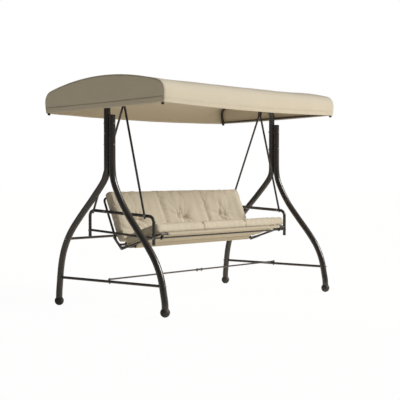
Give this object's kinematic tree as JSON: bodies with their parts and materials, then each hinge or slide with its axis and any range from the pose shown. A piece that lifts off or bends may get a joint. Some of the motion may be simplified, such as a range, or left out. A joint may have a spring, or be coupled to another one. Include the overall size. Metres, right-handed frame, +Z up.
{
  "type": "canopy swing bench",
  "caption": "Garden swing bench with a folding back that makes a bed, hung from a curved tube stand under a tilting arched fabric canopy.",
  "frame": {"origin": "on the floor, under the swing axis, midway between the end frames", "axes": "+X to the right seen from the front and along the bench, +Y to the back, +Z up"},
  "size_m": [2.184, 1.2188, 1.7316],
  "materials": {
    "frame_paint": "satin dark bronze powder coat",
    "fastener": "zinc-plated steel, darkened",
    "foot_plastic": "matte moulded plastic",
    "canopy_fabric": "plain woven polyester, tan",
    "cushion_fabric": "plain woven polyester over fibre filling, beige",
    "sling_fabric": "coated mesh sling cloth, tan"
  },
  "bodies": {
    "stand": {"end_bar_left": "frame_paint", "end_bar_right": "frame_paint", "floor_stretcher_left": "frame_paint", "floor_stretcher_right": "frame_paint", "foot_front_left": "foot_plastic", "foot_front_right": "foot_plastic", "foot_rear_left": "foot_plastic", "foot_rear_right": "foot_plastic", "front_leg_left": "frame_paint", "front_leg_right": "frame_paint", "rear_cross_bar": "frame_paint", "rear_leg_left": "frame_paint", "rear_leg_right": "frame_paint", "swing_bracket_left": "frame_paint", "swing_bracket_right": "frame_paint", "swing_pin_left": "fastener", "swing_pin_right": "fastener", "tilt_pivot_left": "fastener", "tilt_pivot_right": "fastener", "top_beam": "frame_paint"},
    "swing": {"arm_left": "frame_paint", "arm_lower_rail_left": "frame_paint", "arm_lower_rail_right": "frame_paint", "arm_right": "frame_paint", "hanger_plate_left": "frame_paint", "hanger_plate_right": "frame_paint", "hanger_rod_front_left": "frame_paint", "hanger_rod_front_right": "frame_paint", "hanger_rod_rear_left": "frame_paint", "hanger_rod_rear_right": "frame_paint", "seat_front_rail": "frame_paint"},
    "seat": {"hinge_plate_seat_left": "frame_paint", "hinge_plate_seat_right": "frame_paint", "recline_pin_left": "fastener", "recline_pin_right": "fastener", "seat_clip_left": "frame_paint", "seat_clip_right": "frame_paint", "seat_cushion_left": "cushion_fabric", "seat_cushion_middle": "cushion_fabric", "seat_cushion_right": "cushion_fabric", "seat_frame": "frame_paint", "seat_sling": "sling_fabric"},
    "backrest": {"back_cushion_left": "cushion_fabric", "back_cushion_middle": "cushion_fabric", "back_cushion_right": "cushion_fabric", "back_frame": "frame_paint", "back_sling": "sling_fabric", "hinge_plate_back_left": "frame_paint", "hinge_plate_back_right": "frame_paint"},
    "canopy": {"canopy_arch_left": "frame_paint", "canopy_arch_right": "frame_paint", "canopy_base_rail_left": "frame_paint", "canopy_base_rail_right": "frame_paint", "canopy_end_panel_left": "canopy_fabric", "canopy_end_panel_right": "canopy_fabric", "canopy_purlin_front": "frame_paint", "canopy_purlin_rear": "frame_paint", "canopy_purlin_ridge": "frame_paint", "canopy_top_panel": "canopy_fabric"}
  },
  "joints": [
    {"name": "seat_swing", "type": "hinge", "parent": "stand", "child": "swing", "pos_m": [0, 0, 1.544], "axis": [1, 0, 0], "range_deg": [-20, 15]},
    {"name": "seat_level", "type": "hinge", "parent": "swing", "child": "seat", "pos_m": [0, -0.2795, 0.536], "axis": [1, 0, 0], "range_deg": [0, 22.1]},
    {"name": "back_recline", "type": "hinge", "parent": "seat", "child": "backrest", "pos_m": [0, 0.0655, 0.447], "axis": [-1, 0, 0], "range_deg": [0, 82]},
    {"name": "canopy_tilt", "type": "hinge", "parent": "stand", "child": "canopy", "pos_m": [0, 0, 1.505], "axis": [1, 0, 0], "range_deg": [-15, 15]}
  ],
  "couplings": [
    {"joint": "seat_level", "follows": "back_recline", "ratio": 0.2683}
  ]
}
